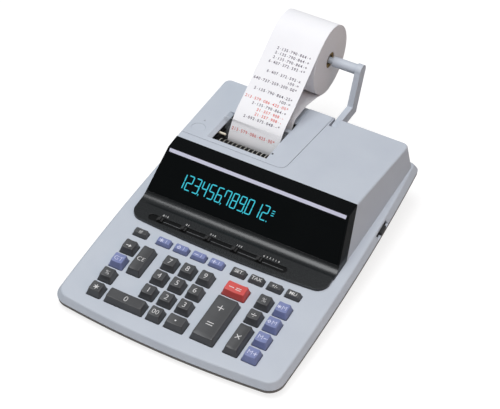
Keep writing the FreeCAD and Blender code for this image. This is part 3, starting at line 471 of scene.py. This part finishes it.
SIGNS = {
    "plus": [(-1, 0, 1, 0), (0, -1, 0, 1)],
    "minus": [(-1, 0, 1, 0)],
    "equals": [(-1, 0.45, 1, 0.45), (-1, -0.45, 1, -0.45)],
    "times": [(-0.8, -0.8, 0.8, 0.8), (-0.8, 0.8, 0.8, -0.8)],
    "divide": [(-1, 0, 1, 0), (0, 0.75, 0, 0.76), (0, -0.75, 0, -0.76)],
    "star": [(0, -1, 0, 1), (-0.87, -0.5, 0.87, 0.5), (-0.87, 0.5, 0.87, -0.5)],
    "diamond": [(-0.8, 0, 0, 1), (0, 1, 0.8, 0), (0.8, 0, 0, -1), (0, -1, -0.8, 0)],
    "arrow": [(-1, 0, 1, 0), (1, 0, 0.35, 0.5), (1, 0, 0.35, -0.5)],
    "dot": [(0, 0, 0.01, 0)],
}
LETTER = 7.9 * MM
FIGURE_H = 1.1 * LETTER
PAIR_H = 0.9 * LETTER
PLUS_H = 1.3 * LETTER
SMALL = 5.5 * MM
SMALL_TO = 0.8 * LETTER
ROW_H = 1.2 * SMALL
ROW_SIGN = 1.15 * SMALL
ROW_OFF = 2.6
SIGN = 2.4 * MM
LINE = 0.78 * MM
LOWER = 0.8 * MM
PRINT_UP = 0.04 * MM


def mark(kind, dx=0.0, dy=0.0, size=LETTER):
    """Faces of one mark on a key, dx and dy mm off its middle: a drawn sign or short lettering."""
    if kind in SIGNS:
        reach = SIGN * size / LETTER
        wide = LINE * 2 if kind == "dot" else LINE
        faces = [stroke(*[c * reach for c in bar], wide) for bar in SIGNS[kind]]
    else:
        faces = outline_mesh(kind, size, SMALL_WEIGHT if size < SMALL_TO else WEIGHT)
    return [[p + Vector((dx * MM, dy * MM)) for p in face] for face in faces]


def legend(name, material, *marks):
    """Printed marks that follow the dish of a key."""
    _, top, _, height = key_top(name)
    cx, cv = (top[0] + top[1]) / 2, (top[2] + top[3]) / 2
    quads = []
    for face in (f for m in marks for f in m):
        quads.append([from_deck(cx + p.x, cv + p.y - LOWER, height(cx + p.x) + PRINT_UP) for p in face])
    sheet_piece("legend_" + name, quads, material, name + "_cap")


# Satin ABS shows a soft light on rim and dish; pad print lies flat and dull on it
charcoal_key = moulding("satin charcoal ABS", "#494a4c", "#444547", 0.34, 0.35, 0.015,
                        Specular_IOR_Level=0.55)
blue_key = moulding("satin slate blue ABS", "#7f89b8", "#7a84b2", 0.4, 0.35, 0.015)
red_key = moulding("satin warm red ABS", "#d8534f", "#d04c49", 0.4, 0.35, 0.015)
pale_ink = moulding("pale grey pad print", "#e4e4e4", "#dadada", 0.55, 0.3, 0.005)
pale_blue_ink = moulding("pale blue pad print", "#d9dcf2", "#d1d5ec", 0.55, 0.3, 0.005)

LEGENDS = {"key_fn_0": [mark("#", size=ROW_H)]}
for number, sign in enumerate(("star", "diamond", "minus", "plus"), 1):
    LEGENDS["key_fn_%d" % number] = [mark(sign, -ROW_OFF, 0, ROW_SIGN), mark("I", ROW_OFF, 0, ROW_H)]
for number, text in enumerate(("SET", "TAX", "+/-", "MU"), 5):
    LEGENDS["key_fn_%d" % number] = [mark(text, size=SMALL)]
LEGENDS.update({
    "key_star": [mark("star")],
    "key_percent_add": [mark("%", size=PAIR_H)],
    "key_total": [mark("GT", size=PAIR_H)],
    "key_feed": [mark("arrow", 0, -1)],
    "key_clear": [mark("CE", 0, -0.6, PAIR_H)],
    "key_0": [mark("0", size=FIGURE_H)],
    "key_00": [mark("00", size=0.95 * LETTER)],
    "key_point": [mark("dot", -0.6, 0, 1.6 * LETTER)],
    "key_minus": [mark("minus", -4.6), mark("equals", 2.8)],
    "key_plus": [mark("plus", -1.0, 12.8, PLUS_H), mark("equals", -1.0, -8.4, PLUS_H)],
    "key_multiply": [mark("times", -0.5, 0.6, FIGURE_H)],
    "key_percent": [mark("%", size=PAIR_H)],
    "key_divide": [mark("divide")],
    "key_memory_total": [mark("star", -3.4, 0, SMALL), mark("M", 1.9, 0, PAIR_H)],
    "key_memory_sub": [mark("diamond", -3.4, 0, SMALL), mark("M", 1.9, 0, PAIR_H)],
    "key_memory_minus": [mark("M", -1.9, 0, PAIR_H), mark("minus", 3.6, 0, SMALL)],
    "key_memory_plus": [mark("M", -1.9, 0, PAIR_H), mark("plus", 3.6, 0, SMALL)],
})
for figure in "123456789":
    LEGENDS["key_" + figure] = [mark(figure, size=FIGURE_H)]
BLUE = ["key_fn_1", "key_fn_2", "key_fn_3", "key_fn_4", "key_total"]
BLUE += ["key_memory_" + kind for kind in ("total", "sub", "minus", "plus")]
for name, marks in LEGENDS.items():
    blue = name in BLUE
    cap_finish = blue_key if blue else red_key if name == "key_minus" else charcoal_key
    keycap(name, cap_finish)
    legend(name, pale_blue_ink if blue else pale_ink, *marks)

# Switch panel
# Five black slide knobs in one long groove, small printed figures behind the groove, and a
# black knob in the right side of the skirt. The groove's floor is a near-black sheet of
# painted shade, and pale strips of painted highlight line its slot.
GROOVE_LEFT = 13.1 * MM
GROOVE_RIGHT = 31.1 * MM
GROOVE_HALF = 4.15 * MM
GROOVE_DEPTH = 1.14 * MM
GROOVE_END_R = 4.1 * MM
PANEL_UP = 2.2 * MM
LIP_OFF = 4 * MM
LIP_HALF = 0.2 * MM
TEXT_OFF = 4.2 * MM
TEXT_H = 3.1 * MM
KNOB_EASE = 0.35 * MM
EASE_FROM = math.radians(40)
# The nylon is dull black. The sheet on the groove floor is painted shade, and the pale strips
# along the slot are painted highlights where its edges catch the light
painted_recess_shade = moulding("painted recess shade", "#0c0d0e", "#090a0b", 0.6, 0.4, 0.01,
                        Specular_IOR_Level=0.15)
painted_lip_highlight = moulding("painted slot lip highlight", "#7b7d80", "#6c6e71", 0.4, 0.4, 0.01)
SLIDES = ["slide_%d" % i for i in range(1, 6)]
KNOBS = SLIDES + ["power_switch"]
knobs = [deck_span(name) for name in SLIDES]
at_x = [(span[0][0] + span[0][1]) / 2 for span in knobs]
at_v = (knobs[0][1][0] + knobs[0][1][1]) / 2
floor_w = knobs[0][2][0] + PANEL_UP - GROOVE_DEPTH
ring = round_ring(at_x[0] - GROOVE_LEFT, at_x[-1] + GROOVE_RIGHT, at_v - GROOVE_HALF,
                  at_v + GROOVE_HALF, GROOVE_END_R)
# Painted shade: a near-black sheet laid on the groove floor
sheet_piece("groove_painted_shade", [[from_deck(x, v, floor_w) for x, v in ring]], painted_recess_shade, "case")
quads = []
for x0, x1 in zip(at_x, at_x[1:] + [at_x[-1] + GROOVE_RIGHT]):
    x0, x1 = x0 + LIP_OFF, x1 - LIP_OFF
    ring = [(x0, -LIP_HALF), (x1, -LIP_HALF), (x1, LIP_HALF), (x0, LIP_HALF)]
    quads.append([from_deck(x, at_v + dv, floor_w + PRINT_UP) for x, dv in ring])
# Painted highlight: pale strips between the knobs where the slot's edges catch the light
sheet_piece("slot_lip_highlights", quads, painted_lip_highlight, "case")
black_knob = moulding("matt black nylon", "#1a1a1b", "#151516", 0.5, 0.3, 0.01)
dress(black_knob, *KNOBS)
# Figures behind each knob, and how far to its right in mm
PANEL_TEXT = {1: ("0 1 2", 2.8), 2: ("0 1", 1.3), 3: ("0 1 2", 2.8), 4: ("1 2 3", 2.4),
              5: ("6  4  3  2  1  0", 10.7)}
for i, (text, shift) in PANEL_TEXT.items():
    (x0, x1), (v0, v1), (w0, w1) = deck_span("slide_%d" % i)
    middle = (x0 + x1) / 2 + shift * MM
    panel_w = w0 + PANEL_UP
    quads = [[from_deck(middle + p.x, v1 + TEXT_OFF + p.y, panel_w) for p in face]
             for face in outline_mesh(text, TEXT_H, SMALL_WEIGHT)]
    sheet_piece("panel_figures_%d" % i, quads, pale_ink, "case")


def ease_edges(width, *names):
    """Rounds the sharp edges of CAD nodes."""
    for name in names:
        eased = nodes[name].modifiers.new("eased edges", "BEVEL")
        eased.width = width
        eased.segments = 3
        eased.limit_method = "ANGLE"
        eased.angle_limit = EASE_FROM


ease_edges(KNOB_EASE, *KNOBS)

# Printer
# Black ribbed type drum and grey rubber platen in a blackened frame, seen through the mouth,
# with a cream release lever on the frame and a clear acrylic tear bar across the mouth.

# Acetal and blackened steel have a faint dark sheen; the clear acrylic's top edge gets a pale
# strip of painted highlight
drum_black = moulding("satin black acetal", "#0e0e0f", "#0a0a0b", 0.45, 0.4, 0.01,
                      Specular_IOR_Level=0.2)
black_steel = moulding("blackened steel", "#2b2c2e", "#242527", 0.45, 0.5, 0.01, Metallic=0.5)
dress(drum_black, "type_drum", "drive_motor")
dress(black_steel, "printer_frame")
dress(grey_rubber, "platen_roller")
clear_acrylic = moulding("clear polished acrylic", "#dfe4ea", "#d9dfe6", 0.12, 2.0, 0.0, Alpha=0.04)
dress(clear_acrylic, "tear_bar")
# Painted highlight: a pale strip along the top edge of the clear bar
painted_edge_highlight = moulding("painted acrylic edge highlight", "#e3e6ec", "#dadee5", 0.35, 0.6, 0.01)
EDGE_UP = 0.03 * MM
EDGE_BAND = 0.1 * MM
bar_mesh = nodes["tear_bar"].data
bar_top = max(p.center.z for p in bar_mesh.polygons)
quads = [[bar_mesh.vertices[i].co + p.normal * EDGE_UP for i in p.vertices]
         for p in bar_mesh.polygons if p.center.z > bar_top - EDGE_BAND]
sheet_piece("bar_edge_highlight", quads, painted_edge_highlight, "cover")


def turned(name, centre, axis, radii, material, body, sides=32):
    """Turned piece: rings of (distance along the axis, radius) about a centre."""
    side = axis.orthogonal().normalized()
    other = axis.cross(side)
    turns = [2 * math.pi * k / sides for k in range(sides)]
    spokes = [side * math.cos(t) + other * math.sin(t) for t in turns]
    rings = [[centre + axis * d + spoke * r for spoke in spokes] for d, r in radii]
    ringed_piece(name, rings, material, body)


TURNS = 48


def circle(x, centre, radius):
    """Points of a circle about a line along x."""
    turns = [2 * math.pi * k / TURNS for k in range(TURNS)]
    return [Vector((x, centre.y + radius * math.cos(t), centre.z + radius * math.sin(t)))
            for t in turns]


def hoops(rings):
    """Faces between neighbouring circles."""
    faces = []
    for first, second in zip(rings, rings[1:]):
        for k in range(TURNS):
            n = (k + 1) % TURNS
            faces.append([first[k], second[k], second[n], first[n]])
    return faces


# Raised type round the drum, drawn as one pale ring on every second land between its
# grooves; the pale rings are painted highlights where the type catches the light
painted_type_highlight = moulding("painted type highlight", "#bdbbb2", "#8f8d86", 0.5, 0.9, 0.05)
drum_axle = Vector(next(j for j in frame["joints"] if j["name"] == "drum_spin")["pos_m"])
strip_low, strip_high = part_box("paper_strip")
LANDS = 24
TYPE_W = 0.85 * MM
TYPE_IN = 9.95 * MM
TYPE_OUT = 10.08 * MM
quads = []
for k in range(0, LANDS + 1, 2):
    x = strip_low[0] + (strip_high[0] - strip_low[0]) * k / LANDS
    first, last = x - TYPE_W / 2, x + TYPE_W / 2
    edges = [(first, TYPE_IN), (first, TYPE_OUT), (last, TYPE_OUT), (last, TYPE_IN)]
    quads += hoops([circle(at, drum_axle, r) for at, r in edges])
# Painted highlight: pale rings on the drum where its raised type catches the light
sheet_piece("drum_type_highlights", quads, painted_type_highlight, "drum")

# Cream nylon, smooth and a little waxy
cream_nylon = moulding("cream nylon", "#e9e2d0", "#e2dac6", 0.45, 0.5, 0.01)
frame_low, frame_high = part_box("printer_frame")
LEVER_IN = 0.3 * MM
LEVER_BACK = 22 * MM
LEVER_UP = 1.0 * MM
lever_at = Vector((frame_low[0] + LEVER_IN, frame_low[1] + LEVER_BACK, frame_high[2] + LEVER_UP))
lever = [(0, 1.0 * MM), (0.4 * MM, 1.3 * MM), (8.6 * MM, 1.3 * MM), (9.4 * MM, 1.0 * MM),
         (9.6 * MM, 0.5 * MM)]
turned("release_lever", lever_at, Vector((1, 0, 0)), lever, cream_nylon, "case")

# Printer cover
# The lift-off cover has a shallow press mark, a small moulded pointer behind it and a dark
# headed pin at the right front of the mouth.
dress(grey_case, "printer_cover")
ABOVE = 0.2
cover = [v.co for v in nodes["printer_cover"].data.vertices]
cover_shape = [tuple(f.vertices) for f in nodes["printer_cover"].data.polygons]
cover_skin = BVHTree.FromPolygons(cover, cover_shape)


def on_cover(x, y):
    """Point of the cover's upper skin, at a place in plan."""
    return cover_skin.ray_cast(Vector((x, y, ABOVE)), Vector((0, 0, -1)))[0]


MOUTH_OFF = 2.3 * MM
POINTER_X = -91.0 * MM
POINTER_BACK = 20.8 * MM
POINTER_HALF = 1.0 * MM
POINTER_LONG = 1.9 * MM
POINTER_UP = 0.25 * MM
PIN_X = -5.4 * MM
PIN_BACK = 10 * MM
mouth_front = frame_low[1] + MOUTH_OFF
pointer = []
for dx, dy in ((-POINTER_HALF, 0), (POINTER_HALF, 0), (0, POINTER_LONG)):
    pointer.append(on_cover(POINTER_X + dx, mouth_front + POINTER_BACK + dy))
lift = Vector((0, 0, POINTER_UP))
quads = [[p + lift for p in pointer]]
for a, b in zip(pointer, pointer[1:] + pointer[:1]):
    quads.append([a, b, b + lift, a + lift])
# The raised pointer is the case's plastic a shade darker
pointer_grey = moulding("mid-grey relief", "#9a9fa8", "#9298a1", 0.5, 0.4, 0.02)
sheet_piece("cover_pointer", quads, pointer_grey, "cover")
pin_at = on_cover(PIN_X, mouth_front + PIN_BACK)
pin = [(-0.3 * MM, 1.0 * MM), (0.3 * MM, 1.0 * MM), (0.6 * MM, 0.7 * MM), (0.7 * MM, 0.2 * MM)]
turned("cover_pin", pin_at, Vector((0, 0, 1)), pin, drum_black, "cover", 20)

# Paper roll
# White bond paper wound on a brown board core, whose ends sit a little below the paper. It
# turns on the pin of the arm, which is moulded in the grey of the case with eased edges.
ARM_EASE = 0.9 * MM
dress(grey_case, "roll_arm")
ease_edges(ARM_EASE, "roll_arm")
paper_low, paper_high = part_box("paper_roll")
roll_spin = next(j for j in frame["joints"] if j["name"] == "roll_spin")
axle = Vector(roll_spin["pos_m"])
# Bond paper is flat white, and the wound edges of its layers are a shade greyer with fine rings
white_paper = moulding("white bond paper", "#fbfbfe", "#f8f8fc", 0.75, 0.25, 0.01)
wound_paper = moulding("wound bond paper", "#f1f0f3", "#eeedf0", 0.8, 0.25, 0.01)
wound = wound_paper.node_tree
wound_shader = wound.nodes["Principled BSDF"]
wound_tint = wound_shader.inputs["Base Color"].links[0].from_socket
wound_place = add(wound, "ShaderNodeTexCoord").outputs["Object"]
centred = add(wound, "ShaderNodeMapping", {"Location": (0, -axle.y, -axle.z)}, {"Vector": wound_place})
# Real layers are too thin to show, so the rings are drawn coarser. A wave of scale 1 is 0.314 long
LAYER = 1.1 * MM
WAVE = 0.314
winding = {"wave_type": "RINGS", "rings_direction": "X", "Scale": WAVE / LAYER, "Distortion": 1.5,
           "Detail": 3.0, "Detail Scale": 0.4}
layers = add(wound, "ShaderNodeTexWave", winding, {"Vector": centred.outputs["Vector"]})
shade = add(wound, "ShaderNodeMapRange", {"To Min": 0.0, "To Max": 0.16},
            {"Value": layers.outputs["Fac"]})
rings = add(wound, "ShaderNodeMix", {"data_type": "RGBA", "blend_type": "MULTIPLY"})
wound.links.new(shade.outputs["Result"], rings.inputs[0])
wound.links.new(wound_tint, rings.inputs[6])
rings.inputs[7].default_value = linear("#a39a98")
wound.links.new(rings.outputs[2], wound_shader.inputs["Base Color"])
# Core board is dull, brown and fibrous
brown_board = moulding("brown core board", "#8a7446", "#7a653a", 0.8, 0.6, 0.05)
dress(wound_paper, "paper_roll")
CORE_R = 9.0 * MM
BORE_R = 6.0 * MM
SINK = 0.8 * MM
LINING = 0.05 * MM
left_x, right_x = paper_low[0] + SINK - LINING, paper_high[0] - SINK + LINING
core = [(left_x, CORE_R), (left_x, BORE_R), (right_x, BORE_R), (right_x, CORE_R)]
quads = hoops([circle(x, axle, radius - LINING) for x, radius in core])
sheet_piece("roll_core", quads, brown_board, "roll")

# Paper strip
# One band of the same paper, from the roll through the printer and up over the roll, printed
# with columns of evenly spaced figures in violet-grey and red ink.
tape_mesh = nodes["paper_strip"].data.copy()
tape_mesh.name = "paper_tape"
tape = bpy.data.objects.new("paper_tape", tape_mesh)
bpy.context.collection.objects.link(tape)
tape_mesh.materials.clear()
tape_mesh.materials.append(white_paper)
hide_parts("paper_strip")
tear_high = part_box("tear_bar")[1]
LAY = 39.15 * MM
TEAR_BACK = 1.16 * MM
TEAR_DOWN = 0.87 * MM
tear_edge = Vector((0, tear_high[1] - TEAR_BACK, tear_high[2] - TEAR_DOWN))
reach_y, reach_z = axle.y - tear_edge.y, axle.z - tear_edge.z
far = math.hypot(reach_y, reach_z)
rise = math.atan2(reach_z, reach_y) + math.asin(LAY / far)
along_tape = Vector((0, math.cos(rise), math.sin(rise)))
off_tape = Vector((0, -along_tape.z, along_tape.y))
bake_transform(tape)

# Ribbon ink soaks into the paper, so it has no shine of its own
violet_ink = moulding("violet-grey ribbon ink", "#5a4c60", "#524558", 0.7, 0.3, 0.005)
red_ink = moulding("red ribbon ink", "#dc4634", "#d43f2e", 0.7, 0.3, 0.005)
tape_shape = [tuple(p.vertices) for p in tape_mesh.polygons]
surface = BVHTree.FromPolygons([v.co for v in tape_mesh.vertices], tape_shape)
TOP_LINE = 86 * MM
LINE_PITCH = 5.33 * MM
FIGURE = 4.3 * MM
SPACING = 2.66 * MM
TAPE_WEIGHT = 0.018
PRINT_EDGE = 6.8 * MM
POINT_UP = 0.9 * MM
RAY_FROM = 40 * MM
RAY_REACH = 0.08
INK_UP = 0.05 * MM
PRINT = [(0, "2.135.790.864.+", 0), (1, "2.135.790.864.+", 0), (2, "2.135.790.864.+", 0),
         (3, "6.407.372.592.+*", 0), (5, "6.407.372.592.x", 0), (6, "100.=", 0),
         (7, "640.737.259.200.00*", 0), (9, "2.135.790.864.25+", 0), (10, "100.=", 0),
         (11, "213.579.086.425.00*", 1), (12, "2.135.790.864.+", 0), (13, "21.357.908.-", 1),
         (14, "21.357.908.-", 1), (15, "2.093.075.048.-*", 0), (17.9, "213.579.086.425.00*", 1)]
signs = set("".join(text for row, text, red in PRINT))
glyphs = {sign: outline_mesh(sign, FIGURE, TAPE_WEIGHT) for sign in signs}
glyphs["."] = [[p + Vector((0, POINT_UP)) for p in face] for face in glyphs["."]]
inks = {0: [], 1: []}
for row, text, red in PRINT:
    base = tear_edge + along_tape * (TOP_LINE - row * LINE_PITCH)
    last = paper_high[0] - PRINT_EDGE
    for column, sign in enumerate(reversed(text)):
        for face in glyphs[sign]:
            spots = []
            for p in face:
                start = base + along_tape * p.y + off_tape * RAY_FROM
                start.x = last - column * SPACING + p.x
                hit = surface.ray_cast(start, -off_tape, RAY_REACH)[0]
                spots.append(hit + off_tape * INK_UP)
            inks[red].append(spots)
for red, ink, name in ((0, violet_ink, "tape_print_dark"), (1, red_ink, "tape_print_red")):
    printed = sheet_piece(name, inks[red], ink, None)
    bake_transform(printed)

# Studio
# A wide pale floor under one large soft light from above, a little to the left, with a weak
# warm fill from the right. Seen straight, floor and surroundings are white, and the floor
# keeps the shadow.
floor_mat = bpy.data.materials.new("white studio floor")
floor_mat.use_nodes = True
floor_tree = floor_mat.node_tree
pale = floor_tree.nodes["Principled BSDF"]
pale.inputs["Base Color"].default_value = linear("#cacaca")
pale.inputs["Roughness"].default_value = 0.9
seen = add(floor_tree, "ShaderNodeLightPath").outputs["Is Camera Ray"]
soft = add(floor_tree, "ShaderNodeBsdfDiffuse", {"Color": linear("#9c9c9c")})
white = add(floor_tree, "ShaderNodeEmission", {"Color": linear("#ffffff"), "Strength": 0.79})
bright = add(floor_tree, "ShaderNodeAddShader")
floor_tree.links.new(soft.outputs[0], bright.inputs[0])
floor_tree.links.new(white.outputs[0], bright.inputs[1])
either = add(floor_tree, "ShaderNodeMixShader", {}, {"Fac": seen})
floor_tree.links.new(pale.outputs[0], either.inputs[1])
floor_tree.links.new(bright.outputs[0], either.inputs[2])
floor_tree.links.new(either.outputs[0], floor_tree.nodes["Material Output"].inputs["Surface"])
floor_mesh = bpy.data.meshes.new("floor")
FLOOR = 6.0
corners = [(-FLOOR, -FLOOR, 0), (FLOOR, -FLOOR, 0), (FLOOR, FLOOR, 0), (-FLOOR, FLOOR, 0)]
floor_mesh.from_pydata(corners, [], [(0, 1, 2, 3)])
floor_mesh.materials.append(floor_mat)
floor = bpy.data.objects.new("floor", floor_mesh)
bpy.context.collection.objects.link(floor)

world = bpy.data.worlds.new("studio")
bpy.context.scene.world = world
world.use_nodes = True
world_tree = world.node_tree
room = world_tree.nodes["Background"]
room.inputs["Color"].default_value = linear("#ffffff")
room.inputs["Strength"].default_value = 0.24
backdrop = add(world_tree, "ShaderNodeBackground", {"Color": linear("#ffffff"), "Strength": 1.0})
straight = add(world_tree, "ShaderNodeLightPath").outputs["Is Camera Ray"]
look = add(world_tree, "ShaderNodeMixShader", {}, {"Fac": straight})
world_tree.links.new(room.outputs[0], look.inputs[1])
world_tree.links.new(backdrop.outputs[0], look.inputs[2])
world_tree.links.new(look.outputs[0], world_tree.nodes["World Output"].inputs["Surface"])


def softbox(name, place, aim, size, power, colour):
    """Square soft light turned to a point."""
    lamp = bpy.data.lights.new(name, "AREA")
    lamp.shape = "SQUARE"
    lamp.size = size
    lamp.energy = power
    lamp.color = linear(colour)[:3]
    made = bpy.data.objects.new(name, lamp)
    bpy.context.collection.objects.link(made)
    made.location = place
    made.rotation_euler = (Vector(aim) - Vector(place)).to_track_quat("-Z", "Y").to_euler()


softbox("key_light", place=(-0.14, -0.24, 1.7), aim=(0, 0, 0.03), size=1.2, power=23.4,
        colour="#fbfdff")
softbox("fill_light", place=(1.6, -0.5, 0.9), aim=(0, 0.05, 0.04), size=0.9, power=3.2,
        colour="#ffcbb0")

# Camera
# The photograph's own view: a long lens from the right front, tilted a little to one side.
AZIMUTH = math.radians(27.16)
ELEVATION = math.radians(42.01)
ROLL = math.radians(2.41)
EYE = Vector((0.5401, -1.07752, 1.1215))
SENSOR = 36.0
FOCAL_PX = 1597.8
IMAGE_W = 500
FLAT = math.cos(ELEVATION)
ahead = -Vector((math.sin(AZIMUTH) * FLAT, -math.cos(AZIMUTH) * FLAT, math.sin(ELEVATION)))
sideways = ahead.cross(Vector((0, 0, 1))).normalized()
upward = sideways.cross(ahead)
right = sideways * math.cos(ROLL) + upward * math.sin(ROLL)
upright = upward * math.cos(ROLL) - sideways * math.sin(ROLL)
lens = bpy.data.cameras.new("camera")
lens.sensor_width = SENSOR
lens.lens = SENSOR * FOCAL_PX / IMAGE_W
lens.clip_end = 20
camera = bpy.data.objects.new("camera", lens)
bpy.context.collection.objects.link(camera)
turn = Matrix((right, upright, -ahead)).transposed()
camera.matrix_world = Matrix.Translation(EYE) @ turn.to_4x4()
bpy.context.scene.camera = camera
bpy.context.scene.view_settings.view_transform = "Standard"
